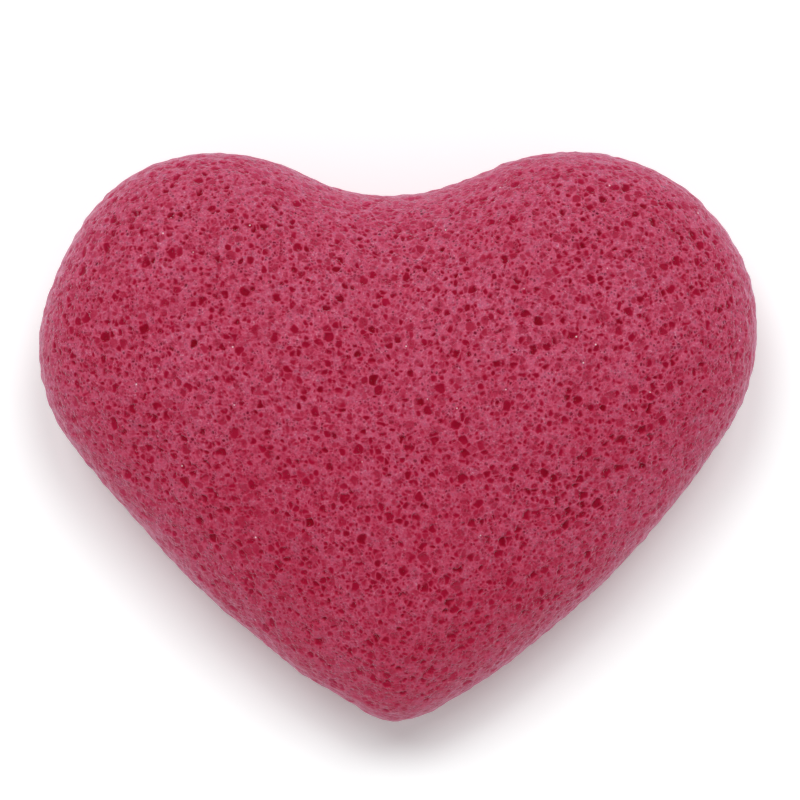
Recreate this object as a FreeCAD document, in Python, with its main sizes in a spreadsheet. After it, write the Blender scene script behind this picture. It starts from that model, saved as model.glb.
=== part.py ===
import FreeCAD, Part
import math
import os
import Sketcher

# A heart-shaped facial sponge of konjac foam, set in a mould as one piece. It lies on its
# flat side with the crowned face up, the cleft of the heart towards +Y and the tip towards -Y.
# The origin is under the middle of the outline, on the surface that the sponge lies on.

document = FreeCAD.newDocument("heart_sponge")

# Driving sizes, in millimetres
driving_sizes = {
    # Outline at the widest level: round lobes, a shallow cleft, bowed flanks and a blunt tip
    "heart_length": 63.0,
    "lobe_spacing": 40.0,
    "lobe_radius": 20.0,
    "cleft_radius": 24.5,
    "flank_radius": 97.0,
    "tip_radius": 7.2,
    # Height of the crown, and of the widest level above the flat side
    "overall_height": 28.0,
    "waist_height": 13.0,
    # Half width of the nearly flat spot at the top of the crown
    "crown_flat": 2.0,
    # The round below the widest level: how far it would draw in, and how much of it the flat side cuts off
    "base_reach": 14.0,
    "base_cut": 3.0,
    # The outline steps in parallel to itself near the edge, at most by this share of the tip's radius
    "inset_share": 0.5,
    # Towards the crown the heart softens: how much rounder its tip and its cleft get there
    "tip_softening": 8.0,
    "cleft_softening": 80.0,
}

# Levels of the loft: above the widest level as angles round the edge, in degrees, and below it as
# shares of the angle at which the flat side cuts the round
crown_angles = [20.0, 40.0, 60.0, 70.0, 80.0, 90.0]
base_shares = [1.0, 0.5]

sheet = document.addObject("Spreadsheet::Sheet", "Sizes")
next_row = 1


def add_cell(alias, content):
    """Writes one named value of the sheet, a plain number or a formula, on a row of its own."""
    global next_row
    sheet.set(f"A{next_row}", alias)
    sheet.set(f"B{next_row}", content)
    sheet.setAlias(f"B{next_row}", alias)
    next_row += 1


for name, value in driving_sizes.items():
    add_cell(name, str(value))

# Places that follow from the sizes. The cleft arc touches both lobes, which gives the cleft's floor.
add_cell("lobe_x", "=lobe_spacing / 2")
add_cell("lobe_y", "=heart_length / 2 - lobe_radius")
add_cell("cleft_y", "=lobe_y + sqrt((lobe_radius + cleft_radius)^2 - lobe_x^2)")
add_cell("cleft_floor", "=cleft_y - cleft_radius")
add_cell("crown_reach", "=cleft_floor - crown_flat")
add_cell("crown_rise", "=overall_height - waist_height")
add_cell("base_angle", "=asin(waist_height / (waist_height + base_cut))")
add_cell("parallel_inset", "=inset_share * tip_radius")


def add_level(level, height, reach):
    """Writes one level of the sponge: its height, and the places and radii of its heart's arcs.

    The edge moves in by reach. A parallel inset takes all of it at first and less and less later on,
    up to twice the largest inset, and the rest of the reach scales the outline about its middle.
    """
    inset = f"inset_{level}"
    scale = f"scale_{level}"
    softer = f"(1 - {scale})"
    turned_in = f"min(reach_{level}; 2 * parallel_inset)"
    add_cell(f"height_{level}", f"={height}")
    add_cell(f"reach_{level}", f"={reach}")
    add_cell(inset, f"={turned_in} - {turned_in}^2 / (4 * parallel_inset)")
    add_cell(scale, f"=1 - (reach_{level} - {inset}) / (cleft_floor - parallel_inset)")
    add_cell(f"lobe_x_{level}", f"=lobe_x * {scale}")
    add_cell(f"lobe_y_{level}", f"=lobe_y * {scale}")
    add_cell(f"lobe_radius_{level}", f"=(lobe_radius - {inset}) * {scale}")
    add_cell(f"cleft_radius_{level}", f"=(cleft_radius + {inset} + cleft_softening * {softer}) * {scale}")
    add_cell(f"flank_radius_{level}", f"=(flank_radius - {inset}) * {scale}")
    add_cell(f"tip_radius_{level}", f"=(tip_radius - {inset} + tip_softening * {softer}) * {scale}")
    add_cell(f"tip_y_{level}", f"=tip_radius_{level} - (heart_length / 2 - {inset}) * {scale}")


level_names = []
for count, share in enumerate(base_shares):
    level = f"base{count}"
    add_level(
        level,
        f"waist_height - (waist_height + base_cut) * sin({share} * base_angle)",
        f"base_reach * (1 - cos({share} * base_angle))",
    )
    level_names.append(level)
add_level("waist", "waist_height", "0")
level_names.append("waist")
for angle in crown_angles:
    level = f"crown{angle:.0f}"
    add_level(
        level,
        f"waist_height + crown_rise * sin({angle} deg)",
        f"crown_reach * (1 - cos({angle} deg))",
    )
    level_names.append(level)

document.recompute()

body = document.addObject("PartDesign::Body", "SpongeBody")
body.Label = "sponge_body"
ground_plane = next(plane for plane in body.Origin.OriginFeatures if plane.Role == "XY_Plane")


def touching_circle(lobe, lobe_radius, tip, tip_radius, flank_radius):
    """Centre of the flank's circle, which holds the lobe's and the tip's circles and touches both."""
    apart = tip - lobe
    to_lobe = flank_radius - lobe_radius
    to_tip = flank_radius - tip_radius
    along = (to_lobe**2 - to_tip**2 + apart.Length**2) / (2 * apart.Length)
    across = math.sqrt(to_lobe**2 - along**2)
    unit = apart / apart.Length
    return lobe + unit * along + FreeCAD.Vector(unit.y, -unit.x, 0) * across


def arc(centre, radius, start, end):
    """Arc about a centre, counter-clockwise between the directions of two points."""
    first = math.atan2(start.y - centre.y, start.x - centre.x)
    last = math.atan2(end.y - centre.y, end.x - centre.x)
    circle = Part.Circle(centre, FreeCAD.Vector(0, 0, 1), radius)
    return Part.ArcOfCircle(circle, first, last)


def mirrored(point):
    """The same point on the other side of the heart's middle line."""
    return FreeCAD.Vector(-point.x, point.y, 0)


def heart_sketch(level):
    """One level of the sponge: a heart of six arcs that run into each other without a corner."""
    lobe_radius = sheet.get(f"lobe_radius_{level}")
    cleft_radius = sheet.get(f"cleft_radius_{level}")
    flank_radius = sheet.get(f"flank_radius_{level}")
    tip_radius = sheet.get(f"tip_radius_{level}")

    lobe = FreeCAD.Vector(sheet.get(f"lobe_x_{level}"), sheet.get(f"lobe_y_{level}"), 0)
    cleft_rise = math.sqrt((lobe_radius + cleft_radius) ** 2 - lobe.x**2)
    cleft = FreeCAD.Vector(0, lobe.y + cleft_rise, 0)
    tip = FreeCAD.Vector(0, sheet.get(f"tip_y_{level}"), 0)
    flank = touching_circle(lobe, lobe_radius, tip, tip_radius, flank_radius)

    lobe_meets_cleft = lobe + (cleft - lobe).normalize() * lobe_radius
    lobe_meets_flank = flank + (lobe - flank).normalize() * flank_radius
    tip_meets_flank = flank + (tip - flank).normalize() * flank_radius

    sketch = body.newObject("Sketcher::SketchObject", f"Heart_{level}")
    sketch.AttachmentSupport = [(ground_plane, "")]
    sketch.MapMode = "FlatFace"
    sketch.setExpression("AttachmentOffset.Base.z", f"Sizes.height_{level}")

    right_lobe = sketch.addGeometry(arc(lobe, lobe_radius, lobe_meets_flank, lobe_meets_cleft))
    cleft_arc = sketch.addGeometry(arc(cleft, cleft_radius, mirrored(lobe_meets_cleft), lobe_meets_cleft))
    left_lobe = sketch.addGeometry(
        arc(mirrored(lobe), lobe_radius, mirrored(lobe_meets_cleft), mirrored(lobe_meets_flank))
    )
    left_flank = sketch.addGeometry(
        arc(mirrored(flank), flank_radius, mirrored(lobe_meets_flank), mirrored(tip_meets_flank))
    )
    tip_arc = sketch.addGeometry(arc(tip, tip_radius, mirrored(tip_meets_flank), tip_meets_flank))
    right_flank = sketch.addGeometry(arc(flank, flank_radius, tip_meets_flank, lobe_meets_flank))

    start, end, centre = 1, 2, 3
    vertical_axis = -2
    joins = [
        (right_lobe, end, cleft_arc, end),
        (cleft_arc, start, left_lobe, start),
        (left_lobe, end, left_flank, start),
        (left_flank, end, tip_arc, start),
        (tip_arc, end, right_flank, start),
        (right_flank, end, right_lobe, start),
    ]
    for join in joins:
        sketch.addConstraint(Sketcher.Constraint("Tangent", *join))
    sketch.addConstraint(
        Sketcher.Constraint("Symmetric", left_lobe, centre, right_lobe, centre, vertical_axis)
    )
    sketch.addConstraint(Sketcher.Constraint("Equal", left_lobe, right_lobe))
    sketch.addConstraint(Sketcher.Constraint("Equal", left_flank, right_flank))
    sketch.addConstraint(Sketcher.Constraint("PointOnObject", tip_arc, centre, vertical_axis))

    origin = -1
    sized = [
        ("DistanceX", (origin, start, right_lobe, centre), lobe.x, "lobe_x"),
        ("DistanceY", (origin, start, right_lobe, centre), lobe.y, "lobe_y"),
        ("DistanceY", (origin, start, tip_arc, centre), tip.y, "tip_y"),
        ("Radius", (right_lobe,), lobe_radius, "lobe_radius"),
        ("Radius", (cleft_arc,), cleft_radius, "cleft_radius"),
        ("Radius", (right_flank,), flank_radius, "flank_radius"),
        ("Radius", (tip_arc,), tip_radius, "tip_radius"),
    ]
    for kind, places, value, size in sized:
        index = sketch.addConstraint(Sketcher.Constraint(kind, *places, value))
        sketch.setExpression(f"Constraints[{index}]", f"Sizes.{size}_{level}")
    return sketch


# The foam body: hearts at rising levels, from the flat side over the widest level to the crown
hearts = [heart_sketch(level) for level in level_names]
document.recompute()
foam = body.newObject("PartDesign::AdditiveLoft", "Foam")
foam.Profile = hearts[0]
foam.Sections = hearts[1:]
foam.Ruled = False
document.recompute()

# Every object has to be sound before anything is written
for item in document.Objects:
    faults = [state for state in item.State if state in ("Invalid", "Error")]
    if faults:
        raise RuntimeError(f"{item.Label} is {faults}")
if body.Shape.isNull() or not body.Shape.isValid():
    raise RuntimeError(f"{body.Label} has no valid shape")

box = body.Shape.optimalBoundingBox()
print(f"{body.Label}: {box.XLength:.2f} x {box.YLength:.2f} x {box.ZLength:.2f} mm,", end=" ")
print(f"{body.Shape.Volume / 1000:.2f} cm3, {len(body.Shape.Solids)} solid")

os.makedirs("parts", exist_ok=True)
body.Shape.exportStep(f"parts/{body.Label}.step")
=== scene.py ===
import itertools
import math

import bpy
import numpy as np
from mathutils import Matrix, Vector


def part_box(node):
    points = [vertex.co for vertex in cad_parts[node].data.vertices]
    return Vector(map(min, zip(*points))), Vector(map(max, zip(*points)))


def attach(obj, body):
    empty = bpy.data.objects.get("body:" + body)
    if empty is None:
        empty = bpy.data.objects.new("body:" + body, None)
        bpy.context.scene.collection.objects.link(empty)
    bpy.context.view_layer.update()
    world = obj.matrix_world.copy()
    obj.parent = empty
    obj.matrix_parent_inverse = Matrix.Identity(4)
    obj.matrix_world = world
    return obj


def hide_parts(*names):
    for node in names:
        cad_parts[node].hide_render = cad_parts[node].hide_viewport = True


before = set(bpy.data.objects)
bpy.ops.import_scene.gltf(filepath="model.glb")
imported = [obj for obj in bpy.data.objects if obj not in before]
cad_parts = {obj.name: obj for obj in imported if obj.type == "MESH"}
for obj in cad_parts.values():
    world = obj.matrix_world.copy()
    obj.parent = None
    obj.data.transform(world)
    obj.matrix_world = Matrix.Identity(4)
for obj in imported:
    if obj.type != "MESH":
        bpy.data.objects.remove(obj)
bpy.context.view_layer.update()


# The sponge body: one block of konjac foam, dyed rose red right through and set in a heart-shaped
# mould. The face is a low crown that rolls over into the rim, and the side it lies on is flat.
# Gas bubbles of all sizes stand open at its skin, and the whole is one soft piece with no seam.

low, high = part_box("sponge_body")
heart_width = high.x - low.x
heart_length = high.y - low.y
lobe_x = heart_width / 4
lobe_radius = heart_width / 4
lobe_y = heart_length / 2 - lobe_radius
cleft_radius = 0.0245
flank_radius = 0.097
tip_radius = 0.0072
tip_softening = 0.008
cleft_softening = 0.080
parallel_inset = tip_radius / 2
cleft_floor = lobe_y + math.sqrt((lobe_radius + cleft_radius) ** 2 - lobe_x**2) - cleft_radius

waist_height = 0.013
crown_rise = high.z - waist_height
base_reach = 0.014
base_cut = 0.003
base_edge_round = 0.0016
profile_samples = 4001

grid_steps = 640
# The formulas divide by the outline's radii and by the ring, so neither gets quite to 0
least_scale = 1e-5
least_ring = 1e-9


def half_heart(reach, share):
    """A point on the right half of the heart, whose edge has moved in by reach.

    Four arcs run into each other without a corner: cleft, lobe, flank and tip. Share goes from 0 at
    the cleft's floor to 1 at the tip, evenly along the line. The edge first moves in parallel to
    itself, then the outline also shrinks about its middle, and its tip and cleft get rounder.
    """
    turned_in = np.minimum(reach, 2 * parallel_inset)
    inset = turned_in - turned_in**2 / (4 * parallel_inset)
    scale = 1 - (reach - inset) / (cleft_floor - parallel_inset)
    scale = np.maximum(scale, least_scale)
    softer = 1 - scale

    lobe_r = (lobe_radius - inset) * scale
    cleft_r = (cleft_radius + inset + cleft_softening * softer) * scale
    flank_r = (flank_radius - inset) * scale
    tip_r = (tip_radius - inset + tip_softening * softer) * scale
    centre_x = lobe_x * scale
    centre_y = lobe_y * scale
    cleft_y = centre_y + np.sqrt((lobe_r + cleft_r) ** 2 - centre_x**2)
    tip_y = tip_r - (heart_length / 2 - inset) * scale

    # The flank's circle holds those of the lobe and the tip and touches both
    apart = np.hypot(centre_x, tip_y - centre_y)
    unit_x = -centre_x / apart
    unit_y = (tip_y - centre_y) / apart
    along = ((flank_r - lobe_r) ** 2 - (flank_r - tip_r) ** 2 + apart**2) / (2 * apart)
    across = np.sqrt((flank_r - lobe_r) ** 2 - along**2)
    flank_x = centre_x + unit_x * along + unit_y * across
    flank_y = centre_y + unit_y * along - unit_x * across

    cleft_end = np.arctan2(centre_y - cleft_y, centre_x)
    lobe_end = np.arctan2(centre_y - flank_y, centre_x - flank_x)
    flank_end = np.arctan2(tip_y - flank_y, -flank_x)
    quarter = math.pi / 2
    lengths = np.stack([
        cleft_r * (cleft_end + quarter),
        lobe_r * (cleft_end + math.pi - lobe_end),
        flank_r * (lobe_end - flank_end),
        tip_r * (flank_end + quarter),
    ])
    ends = np.cumsum(lengths, axis=0)
    travelled = share * ends[3]
    on_arc = [travelled < ends[0], travelled < ends[1], travelled < ends[2]]
    angle = np.select(
        on_arc,
        [
            -quarter + travelled / cleft_r,
            cleft_end + math.pi - (travelled - ends[0]) / lobe_r,
            lobe_end - (travelled - ends[1]) / flank_r,
        ],
        flank_end - (travelled - ends[2]) / tip_r,
    )
    radius = np.select(on_arc, [cleft_r, lobe_r, flank_r], tip_r)
    arc_x = np.select(on_arc, [np.zeros_like(scale), centre_x, flank_x], np.zeros_like(scale))
    arc_y = np.select(on_arc, [cleft_y, centre_y, flank_y], tip_y)
    return arc_x + radius * np.cos(angle), arc_y + radius * np.sin(angle)


def evenly_along(reach, height, ring):
    """Reach and height part of the way along a profile: ring is 1 at its start and 0 at its end."""
    run = np.concatenate([[0], np.cumsum(np.hypot(np.diff(reach), np.diff(height)))])
    place = (1 - ring) * run[-1]
    return np.interp(place, run, reach), np.interp(place, run, height)


def crown_profile(ring):
    """From the rim over the crown to its middle: a quarter of an ellipse, as reach and height."""
    angle = np.linspace(0, math.pi / 2, profile_samples)
    reach = cleft_floor * (1 - np.cos(angle))
    height = waist_height + crown_rise * np.sin(angle)
    return evenly_along(reach, height, ring)


def base_profile(ring):
    """From the rim down to the flat side and along it to its middle, with the corner rounded off.

    The side is part of an ellipse that the flat side cuts. A sliding mean then takes off the corner.
    """
    side_end = math.asin(waist_height / (waist_height + base_cut))
    angle = np.linspace(0, side_end, profile_samples // 2 + 1)
    reach = base_reach * (1 - np.cos(angle))
    height = waist_height - (waist_height + base_cut) * np.sin(angle)
    reach = np.append(reach, cleft_floor)
    height = np.append(height, 0)
    even = np.linspace(1, 0, profile_samples)
    reach, height = evenly_along(reach, height, even)
    spacing = math.hypot(reach[1] - reach[0], height[1] - height[0])
    width = int(base_edge_round / spacing)
    window = np.hanning(2 * width + 1)
    window /= window.sum()
    padded_height = np.concatenate([2 * height[0] - height[width:0:-1], height, np.zeros(width)])
    height = np.convolve(padded_height, window, "valid")
    return evenly_along(reach, height - height[-1], ring)


# The heart's rings are laid on a square grid, ring by ring from the middle outwards, once for the
# crown and once for the underside. Both have the rim's points in common. Ring is 0 in the middle and 1
# at the rim, and share is the way round from the cleft to the tip.
steps = np.linspace(-1, 1, grid_steps + 1)
grid_x, grid_y = np.meshgrid(steps, steps, indexing="ij")
ring = np.maximum(np.abs(grid_x), np.abs(grid_y))
safe_ring = np.maximum(ring, least_ring)
on_side = np.abs(grid_x) >= np.abs(grid_y)
share = np.where(
    on_side,
    (2 - grid_y / safe_ring) / 4,
    np.where(grid_y > 0, np.abs(grid_x), 4 * ring - np.abs(grid_x)) / (4 * safe_ring),
)


def heart_patch(profile):
    """Points of one face of the sponge on the square grid: the right half heart and its mirror image."""
    reach, height = profile(ring)
    x, y = half_heart(reach, share)
    return np.stack([np.sign(grid_x) * x, y, height], axis=-1)


crown_points = heart_patch(crown_profile)
base_points = heart_patch(base_profile)
crown_index = np.arange(ring.size).reshape(ring.shape)
inner = (slice(1, -1), slice(1, -1))
base_index = crown_index.copy()
base_index[inner] = ring.size + np.arange((grid_steps - 1) ** 2).reshape(grid_steps - 1, -1)
points = np.concatenate([crown_points.reshape(-1, 3), base_points[inner].reshape(-1, 3)])

# Soft foam strays from an even heart by less than a millimetre. Each row is one soft push on the
# outline: the place of its middle, the push itself, and its reach.
outline_pushes = (
    ((-0.0370, 0.0200), (0.00065, -0.00040), 0.0055),
    ((-0.0375, 0.0020), (-0.00060, -0.00020), 0.0055),
    ((-0.0100, -0.0265), (-0.00015, -0.00015), 0.0035),
    ((0.0110, -0.0260), (0.00025, -0.00025), 0.0055),
    ((0.0220, -0.0170), (0.00020, -0.00020), 0.0050),
    ((0.0390, 0.0150), (0.00020, 0.00010), 0.0050),
    ((0.0280, 0.0300), (0.00005, 0.00020), 0.0045),
    ((-0.0280, 0.0300), (-0.00015, 0.00025), 0.0045),
    ((0.0095, 0.0290), (0.00010, 0.00060), 0.0045),
    ((-0.0100, 0.0290), (0.0, 0.00020), 0.0035),
    ((0.0, 0.0270), (-0.00060, 0.0), 0.0050),
)
for middle, push, push_reach in outline_pushes:
    away = np.hypot(*(points[:, :2] - middle).T)
    points[:, :2] += np.exp(-((away / push_reach) ** 2) / 2)[:, None] * np.array(push)


def patch_quads(index):
    """Quads of a grid, each with its first diagonal towards the middle, so that no sliver is cut off."""
    a, b = index[:-1, :-1], index[1:, :-1]
    c, d = index[1:, 1:], index[:-1, 1:]
    outwards = (grid_x[:-1, :-1] + grid_x[1:, 1:]) * (grid_y[:-1, :-1] + grid_y[1:, 1:]) > 0
    quads = np.where(outwards[..., None], np.stack([a, b, c, d], -1), np.stack([b, c, d, a], -1))
    return quads.reshape(-1, 4)


crown_quads = patch_quads(crown_index)
base_quads = patch_quads(base_index)[:, ::-1]
quads = np.concatenate([crown_quads, base_quads])

sponge_mesh = bpy.data.meshes.new("konjac_sponge")
sponge_mesh.vertices.add(len(points))
sponge_mesh.vertices.foreach_set("co", points.ravel())
sponge_mesh.loops.add(quads.size)
sponge_mesh.loops.foreach_set("vertex_index", quads.ravel().astype(np.int32))
sponge_mesh.polygons.add(len(quads))
sponge_mesh.polygons.foreach_set("loop_start", np.arange(0, quads.size, 4, dtype=np.int32))
sponge_mesh.polygons.foreach_set("use_smooth", np.ones(len(quads), dtype=bool))
sponge_mesh.update(calc_edges=True)
normals = np.empty(points.size)
sponge_mesh.vertex_normals.foreach_get("vector", normals)
normals = normals.reshape(-1, 3)


def random_directions(rng, count):
    """Unit vectors in random directions."""
    found = rng.normal(size=(count, 3))
    return found / np.linalg.norm(found, axis=1, keepdims=True)


def waves(places, longest, count, seed, shortest_share=0.45):
    """Smooth unevenness between about -1 and 1: a sum of sine waves in random directions.

    Their lengths lie between the longest and a share of it, and each starts at a random phase.
    """
    rng = np.random.default_rng(seed)
    directions = random_directions(rng, count)
    lengths = longest * rng.uniform(shortest_share, 1.0, count)
    phases = rng.uniform(0, 2 * math.pi, count)
    total = np.zeros(len(places))
    for direction, length, phase in zip(directions, lengths, phases):
        total += np.sin(places @ direction * (2 * math.pi / length) + phase)
    return total / math.sqrt(count)


def smooth_step(value):
    """0 below 0, 1 above 1, and an S-shaped rise between."""
    value = np.clip(value, 0, 1)
    return value * value * (3 - 2 * value)


# Bubbles by size: the lattice cell that holds one, the least and greatest radius, the share of cells
# that do hold one, and how faintly the weakest shows through the skin
bubble_sizes = (
    (0.0014, 0.00040, 0.00068, 0.88, 0.25),
    (0.00088, 0.00028, 0.00045, 0.97, 0.20),
    (0.00056, 0.00017, 0.00026, 0.85, 0.20),
)
first_bubble_seed = 11
# The most that a bubble is squeezed along one direction, and a power that makes faint ones more common
bubble_squeeze = 0.4
faint_power = 1.15
# The wall that stays between two bubbles, and the width over which a mouth's lip falls away
wall_between = 0.00008
lip_width = 0.00014
# Stand-ins for a place with no bubble in reach: how far off the next one is, and its radius
far_off = 1.0
radius_if_none = 0.0001


def open_bubbles(places, outwards):
    """Bubbles that the skin cuts open: how far inside a mouth each place is, and its bubble's traits.

    Each cell of a lattice holds at most one bubble, a ball at a random place in it that is squeezed
    along one direction. A place belongs to the bubble that it lies deepest in, of the eight cells
    round it, and halfway to the next bubble a thin wall stays standing. The traits are its strength,
    its fall in radii and its radius. The fall is the way from the skin to the bubble's far side, so a
    bubble that is mostly outside leaves a dish and a buried one a hole.
    """
    best = np.full(len(places), far_off)
    second = best.copy()
    strong = np.zeros(len(places))
    fell = np.zeros(len(places))
    size = np.full(len(places), radius_if_none)
    for seed, (cell, least, most, present, faintest) in enumerate(bubble_sizes, first_bubble_seed):
        rng = np.random.default_rng(seed)
        start = places.min(axis=0) - 2 * cell
        counts = np.ceil((places.max(axis=0) + 2 * cell - start) / cell).astype(int)
        total = int(counts.prod())
        jitter = rng.random((total, 3))
        radii = rng.uniform(least, most, total)
        held = rng.random(total) < present
        squeezed = random_directions(rng, total)
        squeeze = rng.uniform(0.0, bubble_squeeze, total)
        strength = faintest + (1 - faintest) * rng.random(total) ** faint_power
        nearest = np.floor((places - start) / cell - 0.5).astype(int)
        for step in itertools.product((0, 1), repeat=3):
            spot = nearest + step
            number = (spot[:, 0] * counts[1] + spot[:, 1]) * counts[2] + spot[:, 2]
            away = places - start - (spot + jitter[number]) * cell
            rise = np.einsum("ij,ij->i", away, outwards)
            along = np.einsum("ij,ij->i", away, squeezed[number])
            away += squeezed[number] * (along * squeeze[number])[:, None]
            distance = np.linalg.norm(away, axis=1)
            radius = radii[number]
            gap = np.where(held[number], distance - radius, far_off)
            fall = rise + np.sqrt(np.maximum(radius**2 - distance**2 + rise**2, 0))
            closer = gap < best
            second = np.where(closer, best, np.minimum(second, gap))
            best = np.where(closer, gap, best)
            strong = np.where(closer, strength[number], strong)
            fell = np.where(closer, fall, fell)
            size = np.where(closer, radius, size)
    inside = np.minimum(-best, (second - best - wall_between) / 2)
    return inside, strong, np.clip(fell / size, 0, 2), size


# A slight warp takes the roundness off the bubbles
warp_length = 0.0016
warp_size = 0.0001
warp_seeds = (1, 2, 3)
warp = np.stack([waves(points, warp_length, count=8, seed=seed) for seed in warp_seeds], axis=1)
inside, strong, fell, size = open_bubbles(points + warp_size * warp, normals)

# Down the sides the bubbles are shallower and their colour shows more faintly; there the faint colour is
# partly painted sheen, the pale haze of the rim. The skin opens between two slopes, each given by how
# upright the normal stands.
closed_slope = 0.15
open_slope = 0.95
side_strength = 0.55
side_depth = 0.4
openness = smooth_step((np.abs(normals[:, 2]) - closed_slope) / (open_slope - closed_slope))
strong *= side_strength + (1 - side_strength) * openness

# A pore is as deep as half its bubble's fall, up to a share of the radius, and a weak one is shallower
fall_share = 0.5
deepest_share = 0.6
mouth_opened = smooth_step(inside / lip_width + 0.5)
pore_depth = mouth_opened * strong * np.minimum(fall_share * fell, deepest_share) * size
pore_depth *= side_depth + (1 - side_depth) * openness

# Low lumps, and fine pimples between the pores. Nothing goes below the table.
lump_size = 0.0001
lump_length = 0.02
pimple_size = 0.00006
pimple_length = 0.0026
lumps = lump_size * waves(points, lump_length, count=14, seed=4)
pimples = pimple_size * waves(points, pimple_length, count=24, seed=5)
lift = lumps + pimples - pore_depth
moved = points + normals * lift[:, None]
moved[:, 2] = np.maximum(moved[:, 2], 0)
sponge_mesh.vertices.foreach_set("co", moved.ravel())

# What the finish needs to know at each point
inside_limits_mm = (-0.5, 1.0)
skin_values = {
    "inside_mm": np.clip(1000 * inside, *inside_limits_mm),
    "strength": strong,
    "fall": fell,
    "openness": openness,
}
for name, values in skin_values.items():
    attribute = sponge_mesh.attributes.new(name, "FLOAT", "POINT")
    attribute.data.foreach_set("value", values.astype(np.float32))

# The map that the finish is laid out on: the crown above, the underside below
margin = 0.008
crown_share = 0.6
map_u = margin + (1 - 2 * margin) * (grid_x + 1) / 2
map_v = (grid_y + 1) / 2
crown_map = np.stack([map_u, 1 - crown_share + margin + (crown_share - 2 * margin) * map_v], -1)
base_map = np.stack([map_u, margin + (1 - crown_share - 2 * margin) * map_v], -1)
crown_corners = crown_map.reshape(-1, 2)[crown_quads]
base_corners = base_map.reshape(-1, 2)[crown_quads[:, ::-1]]
map_corners = np.concatenate([crown_corners, base_corners])
sponge_map = sponge_mesh.uv_layers.new(name="OFBake")
sponge_map.uv.foreach_set("vector", map_corners.ravel().astype(np.float32))
sponge_mesh.update()

sponge = bpy.data.objects.new("konjac_sponge", sponge_mesh)
bpy.context.scene.collection.objects.link(sponge)


def linear(red, green, blue):
    """A colour given as 8-bit screen values, as the linear numbers that a shader takes."""
    screen = np.array([red, green, blue]) / 255
    value = np.where(screen <= 0.04045, screen / 12.92, ((screen + 0.055) / 1.055) ** 2.4)
    return (*value.tolist(), 1.0)


def add_node(tree, kind, inputs=(), **settings):
    """Adds a node with its settings and inputs: a socket is linked, and any other value is set."""
    node = tree.nodes.new(kind)
    for name, value in settings.items():
        setattr(node, name, value)
    for name, value in dict(inputs).items():
        if isinstance(value, bpy.types.NodeSocket):
            tree.links.new(value, node.inputs[name])
        else:
            node.inputs[name].default_value = value
    return node


def mix_colours(tree, factor, first, second):
    """The first colour, going over to the second with the factor.

    The sockets are numbered, because a Mix node has the same names again for each type of value.
    """
    node = add_node(tree, "ShaderNodeMix", {0: factor, 6: first, 7: second}, data_type="RGBA")
    return node.outputs[2]


def map_range(tree, value, span, result=(0.0, 1.0), smooth=False):
    """A value carried over from a span to a result, held at its ends, evenly or in an S-shaped rise."""
    inputs = {
        "Value": value,
        "From Min": span[0],
        "From Max": span[1],
        "To Min": result[0],
        "To Max": result[1],
    }
    kind = "SMOOTHSTEP" if smooth else "LINEAR"
    return add_node(tree, "ShaderNodeMapRange", inputs, interpolation_type=kind).outputs["Result"]


def math_node(tree, operation, first, second):
    """The result of one operation on two values."""
    return add_node(tree, "ShaderNodeMath", {0: first, 1: second}, operation=operation).outputs[0]


def times(tree, first, second):
    """The product of two values."""
    return math_node(tree, "MULTIPLY", first, second)


def noise(tree, place, per_metre, detail):
    """Smooth random values around a half, with about so many swells in a metre."""
    inputs = {"Vector": place, "Scale": per_metre, "Detail": detail}
    return add_node(tree, "ShaderNodeTexNoise", inputs).outputs["Fac"]


def skin_value(tree, name):
    """A value that the mesh holds at each of its points."""
    return add_node(tree, "ShaderNodeAttribute", attribute_name=name).outputs["Fac"]


def small_pores_group():
    """Round pores too small for the mesh: the mask rises to 1 near the middle of each cell.

    Each cell has its own mouth, from none to all of the size asked for, in cell widths, and its own
    darkness, which is low for most of them. The net is 1 on the thin walls between the cells.
    """
    chance_span = (0.1, 0.9)
    lip = (-0.08, 0.18)
    net_edge = (0.04, 0.2)
    dark_power = 3.0
    group = bpy.data.node_groups.new("small_pores", "ShaderNodeTree")
    sockets = group.interface
    sockets.new_socket("Vector", in_out="INPUT", socket_type="NodeSocketVector")
    for name in ("Per Metre", "Mouth"):
        sockets.new_socket(name, in_out="INPUT", socket_type="NodeSocketFloat")
    for name in ("Mask", "Darkness", "Net"):
        sockets.new_socket(name, in_out="OUTPUT", socket_type="NodeSocketFloat")
    given = add_node(group, "NodeGroupInput").outputs
    cell_inputs = {"Vector": given["Vector"], "Scale": given["Per Metre"]}
    cells = add_node(group, "ShaderNodeTexVoronoi", cell_inputs).outputs
    edges = add_node(group, "ShaderNodeTexVoronoi", cell_inputs, feature="DISTANCE_TO_EDGE").outputs
    chance = add_node(group, "ShaderNodeSeparateColor", {"Color": cells["Color"]}).outputs
    mouth = times(group, given["Mouth"], map_range(group, chance["Red"], chance_span))
    inside = math_node(group, "SUBTRACT", mouth, cells["Distance"])
    mask = map_range(group, inside, lip, smooth=True)
    dark = math_node(group, "POWER", chance["Green"], dark_power)
    net = map_range(group, edges["Distance"], net_edge, (1.0, 0.0), smooth=True)
    add_node(group, "NodeGroupOutput", {"Mask": mask, "Darkness": dark, "Net": net})
    return group


foam = bpy.data.materials.new("konjac_foam")
foam.use_nodes = True
tree = foam.node_tree
tree.nodes.clear()
place = add_node(tree, "ShaderNodeTexCoord").outputs["Object"]
inside_mm = skin_value(tree, "inside_mm")
strength = skin_value(tree, "strength")
fall = skin_value(tree, "fall")
open_skin = skin_value(tree, "openness")
closed_to_open = (0.0, 1.0)
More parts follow.
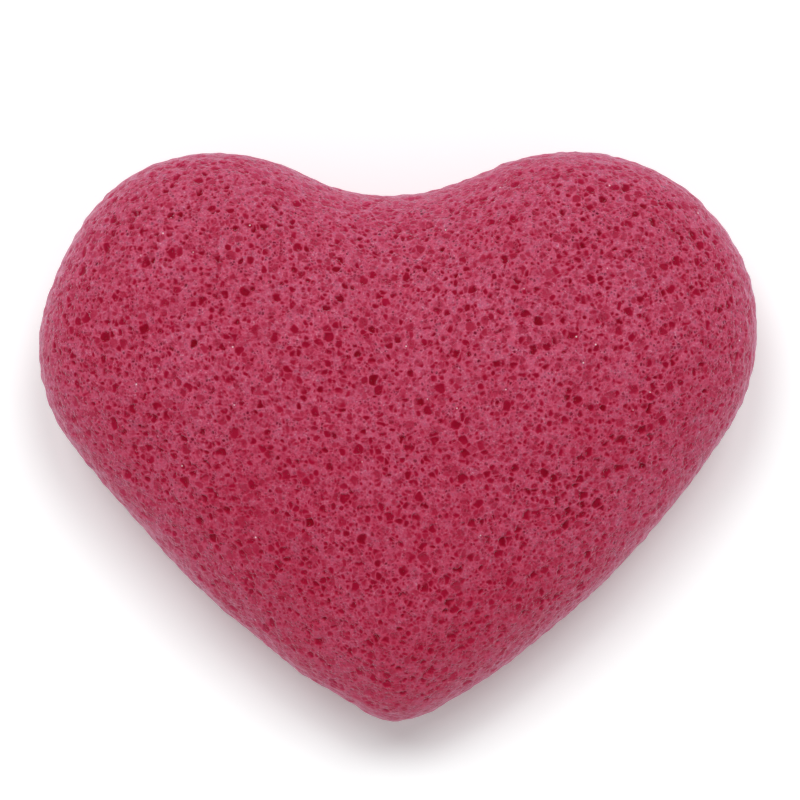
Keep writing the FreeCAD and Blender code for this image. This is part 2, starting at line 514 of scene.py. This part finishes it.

# The walls are mauve with rose clouds, and paler mauve down the sides, which is painted sheen. A darker
# mottle and a frost of dry grain lie over them.
wall_mauve = linear(187, 95, 126)
wall_rose = linear(178, 58, 90)
mottle_rose = linear(152, 43, 74)
wall_frost = linear(214, 148, 171)
painted_sheen_mauve = linear(206, 99, 147)
painted_sheen_share = 0.7
cloud_per_metre = 600.0
cloud_span = (0.35, 0.65)
mottle_per_metre = 2200.0
mottle_span = (0.42, 0.68)
mottle_share = 0.6
grain_per_metre = 4200.0
grain_span = (0.52, 0.72)
cloud = noise(tree, place, cloud_per_metre, detail=2.0)
wall = mix_colours(tree, map_range(tree, cloud, cloud_span), wall_mauve, wall_rose)
# Painted sheen: the walls turn pale mauve down the sides
painted_sheen_on_sides = map_range(tree, open_skin, closed_to_open, (painted_sheen_share, 0.0))
wall = mix_colours(tree, painted_sheen_on_sides, wall, painted_sheen_mauve)
mottle = noise(tree, place, mottle_per_metre, detail=1.0)
wall = mix_colours(tree, map_range(tree, mottle, mottle_span, (0.0, mottle_share)), wall, mottle_rose)
grain = noise(tree, place, grain_per_metre, detail=2.0)
wall = mix_colours(tree, map_range(tree, grain, grain_span), wall, wall_frost)

# Bubbles that lie just under the skin show through it as rose spots, with a faint pink net between
veiled_rose = linear(160, 22, 62)
ring_pink = linear(211, 91, 122)
veiled_per_metre = 1250.0
veiled_mouth = 0.62
veiled_darkness = (0.0, 0.6)
veiled_share = (0.4, 0.9)
veiled_net_share = 0.25
cell_pores = small_pores_group()
veiled_inputs = {"Vector": place, "Per Metre": veiled_per_metre, "Mouth": veiled_mouth}
veiled = add_node(tree, "ShaderNodeGroup", veiled_inputs, node_tree=cell_pores).outputs
veiled_spot = map_range(tree, veiled["Darkness"], veiled_darkness, veiled_share)
wall = mix_colours(tree, times(tree, veiled_spot, veiled["Mask"]), wall, veiled_rose)
wall = mix_colours(tree, times(tree, veiled["Net"], veiled_net_share), wall, ring_pink)

# The smallest pores are plum to nearly black, painted shade in holes too small for the mesh, and
# fainter down the sides and in the mauve
small_pore_shade_plum = linear(116, 18, 44)
small_pore_shade_black = linear(84, 2, 20)
small_per_metre = 2600.0
small_mouth = 0.56
small_closed_share = 0.6
small_cloud_span = (0.4, 0.6)
small_mauve_share = 0.3
small_net_share = 0.5
small_inputs = {"Vector": place, "Per Metre": small_per_metre, "Mouth": small_mouth}
small_pores = add_node(tree, "ShaderNodeGroup", small_inputs, node_tree=cell_pores).outputs
small_mask = map_range(tree, open_skin, closed_to_open, (small_closed_share, 1.0))
small_mask = times(tree, small_mask, small_pores["Mask"])
small_share = map_range(tree, cloud, small_cloud_span, (small_mauve_share, 1.0))
small_share = times(tree, small_mask, small_share)
# Painted shade: plum to nearly black in the small holes
small_shade_colour = mix_colours(tree, small_pores["Darkness"], small_pore_shade_plum, small_pore_shade_black)
wall = mix_colours(tree, small_share, wall, small_shade_colour)
wall = mix_colours(tree, times(tree, small_pores["Net"], small_net_share), wall, ring_pink)

# An open pore has a pink ring on its lip, a rose veil in its mouth and a red core. The veil and the core
# are painted shade in the hole, and the core is darker where the bubble falls deeper; down the sides the
# veil is paler, which is painted sheen. All three are given by how many millimetres a place is inside
# the mouth, and weak bubbles and the sides show less.
painted_sheen_veil = linear(190, 40, 88)
pore_veil = linear(168, 15, 56)
pore_core_shade = linear(120, 0, 9)
ring_edge_mm = (-0.17, -0.09)
ring_strengths = (0.2, 0.7)
ring_share = (0.15, 0.5)
mouth_edge_mm = (-0.09, 0.08)
mouth_strengths = (0.2, 0.55)
mouth_share = (0.55, 1.0)
core_edge_mm = (-0.06, 0.19)
core_falls = (0.0, 1.5)
core_share = (0.5, 1.0)
red_power = 1.4
red_openness = (0.2, 1.0)
red_share = (0.2, 1.0)
ring_start = map_range(tree, inside_mm, ring_edge_mm, smooth=True)
ring_mask = times(tree, ring_start, map_range(tree, strength, ring_strengths, ring_share))
wall = mix_colours(tree, ring_mask, wall, ring_pink)
mouth = map_range(tree, inside_mm, mouth_edge_mm, smooth=True)
pore_mask = times(tree, mouth, map_range(tree, strength, mouth_strengths, mouth_share))
core = map_range(tree, inside_mm, core_edge_mm, smooth=True)
# Painted shade: the core deepens where the bubble falls deeper
painted_pore_shade = times(tree, core, map_range(tree, fall, core_falls, core_share))
painted_pore_shade = times(tree, painted_pore_shade, math_node(tree, "POWER", strength, red_power))
painted_pore_shade = times(tree, painted_pore_shade, map_range(tree, open_skin, red_openness, red_share))
# Painted sheen: the pore veil turns paler down the sides
veil = mix_colours(tree, open_skin, painted_sheen_veil, pore_veil)
pore = mix_colours(tree, painted_pore_shade, veil, pore_core_shade)
colour = mix_colours(tree, pore_mask, wall, pore)

# Painted shade makes the colour deeper towards the tip, and the dye runs deeper in patches; both show
# less down the sides
deep_crimson = linear(170, 10, 50)
tip_shade_y_span = (0.020, -0.028)
tip_shade_share = 0.42
patches_per_metre = 110.0
patch_span = (0.3, 0.7)
patch_dye = (-0.08, 0.12)
side_patches_and_shade_share = 0.5
across = add_node(tree, "ShaderNodeSeparateXYZ", {"Vector": place}).outputs
# Painted shade: darker towards the tip
painted_tip_shade = map_range(tree, across["Y"], tip_shade_y_span, (0.0, tip_shade_share))
patches = noise(tree, place, patches_per_metre, detail=1.0)
patches_and_tip_shade = math_node(tree, "ADD", painted_tip_shade, map_range(tree, patches, patch_span, patch_dye))
patches_and_tip_shade = times(tree, patches_and_tip_shade, map_range(tree, open_skin, closed_to_open, (side_patches_and_shade_share, 1.0)))
colour = mix_colours(tree, patches_and_tip_shade, colour, deep_crimson)

# Painted glints: a few tiny white spots of light on the skin
glint_white = linear(246, 226, 230)
glints_per_metre = 330.0
glint_edge = (0.02, 0.04)
glint_share = 0.8
glint_inputs = {"Vector": place, "Scale": glints_per_metre}
glint_distance = add_node(tree, "ShaderNodeTexVoronoi", glint_inputs).outputs["Distance"]
painted_glints = map_range(tree, glint_distance, glint_edge, (glint_share, 0.0))
colour = mix_colours(tree, painted_glints, colour, glint_white)

grain_roughness = (0.4, 0.65)
relief = math_node(tree, "SUBTRACT", grain, small_mask)
bump = add_node(tree, "ShaderNodeBump", {"Height": relief, "Strength": 0.85, "Distance": 0.00008})
skin = add_node(
    tree,
    "ShaderNodeBsdfPrincipled",
    {
        "Base Color": colour,
        "Roughness": map_range(tree, grain, (0.0, 1.0), grain_roughness),
        "Normal": bump.outputs["Normal"],
        "Subsurface Weight": 0.4,
        "Subsurface Radius": (1.0, 0.2, 0.25),
        "Subsurface Scale": 0.0007,
        "Specular IOR Level": 0.03,
        "Sheen Weight": 0.6,
        "Sheen Roughness": 0.36,
        "Sheen Tint": (1.0, 0.8, 0.95, 1.0),
    },
)
add_node(tree, "ShaderNodeOutputMaterial", {"Surface": skin.outputs["BSDF"]})
sponge_mesh.materials.append(foam)

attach(sponge, "root")
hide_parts("sponge_body")


# The surface under the sponge: a wide matt white table top that runs out of sight.
# In the picture it is a bright white sheet that keeps only the deeper part of the shadow.
floor_half = 4.0
floor_white = (0.85, 0.85, 0.85, 1.0)
floor_seen_white = (1.14, 1.18, 1.18, 1.0)
floor_mesh = bpy.data.meshes.new("table_top")
floor_corners = floor_half * np.array([[-1, -1, 0], [1, -1, 0], [1, 1, 0], [-1, 1, 0]])
floor_mesh.from_pydata(floor_corners.tolist(), [], [(0, 1, 2, 3)])
floor = bpy.data.objects.new("table_top", floor_mesh)
bpy.context.scene.collection.objects.link(floor)


def seen_rays(tree):
    """1 for rays that show the background: from the camera, in a reflection or through something."""
    rays = add_node(tree, "ShaderNodeLightPath").outputs
    mirrored = math_node(tree, "MAXIMUM", rays["Is Glossy Ray"], rays["Is Transmission Ray"])
    return math_node(tree, "MAXIMUM", rays["Is Camera Ray"], mirrored)


table_paint = bpy.data.materials.new("table_paint")
table_paint.use_nodes = True
tree = table_paint.node_tree
tree.nodes.clear()
whiteness = mix_colours(tree, seen_rays(tree), floor_white, floor_seen_white)
matt = add_node(tree, "ShaderNodeBsdfDiffuse", {"Color": whiteness})
add_node(tree, "ShaderNodeOutputMaterial", {"Surface": matt.outputs["BSDF"]})
floor_mesh.materials.append(table_paint)


# Studio light: two large soft lamps high up beyond the cleft, one over each lobe, and even light from
# all round, a little stronger from the tip's side. The lamps' slant gives the shadow below the flanks
# and the tip. Each lamp has a turn about the upright and a strength.
lamp_slant = math.radians(25)
lamp_width = math.radians(20)
lamps = {"left_lamp": (math.radians(31), 0.90), "right_lamp": (math.radians(-26), 0.89)}
room_near_side = 0.53
room_far_side = 0.40
room_seen = 1.0
for name, (turn, lamp_strength) in lamps.items():
    lamp_light = bpy.data.lights.new(name, "SUN")
    lamp_light.energy = lamp_strength
    lamp_light.angle = lamp_width
    lamp = bpy.data.objects.new(name, lamp_light)
    lamp.rotation_euler = (-lamp_slant, 0, turn)
    bpy.context.scene.collection.objects.link(lamp)

room = bpy.data.worlds.new("room")
room.use_nodes = True
tree = room.node_tree
tree.nodes.clear()
direction = add_node(tree, "ShaderNodeTexCoord").outputs["Generated"]
axes = add_node(tree, "ShaderNodeSeparateXYZ", {"Vector": direction}).outputs
room_side = map_range(tree, axes["Y"], (-1.0, 1.0), (room_near_side, room_far_side))
room_light = map_range(tree, seen_rays(tree), (0.0, 1.0), (room_side, room_seen))
room_inputs = {"Color": (1, 1, 1, 1), "Strength": room_light}
background = add_node(tree, "ShaderNodeBackground", room_inputs).outputs["Background"]
add_node(tree, "ShaderNodeOutputWorld", {"Surface": background})
bpy.context.scene.world = room
bpy.context.scene.view_settings.view_transform = "Standard"


# The camera looks down on the crown from almost straight above, with the cleft at the top of the
# picture. The picture is 800 pixels wide, and the heart's outline takes up 717 of them.
picture_pixels = 800
heart_pixels = 717
camera_distance = 0.5
camera_elevation = math.radians(88)
aim = Vector((0.00025, 0.0040, waist_height))
camera_data = bpy.data.cameras.new("camera")
picture_width = heart_width * picture_pixels / heart_pixels
camera_data.lens = camera_data.sensor_width * camera_distance / picture_width
camera = bpy.data.objects.new("camera", camera_data)
towards = Vector((0, -math.cos(camera_elevation), math.sin(camera_elevation)))
camera.location = aim + towards * camera_distance
camera.rotation_euler = (math.pi / 2 - camera_elevation, 0, 0)
bpy.context.scene.collection.objects.link(camera)
bpy.context.scene.camera = camera
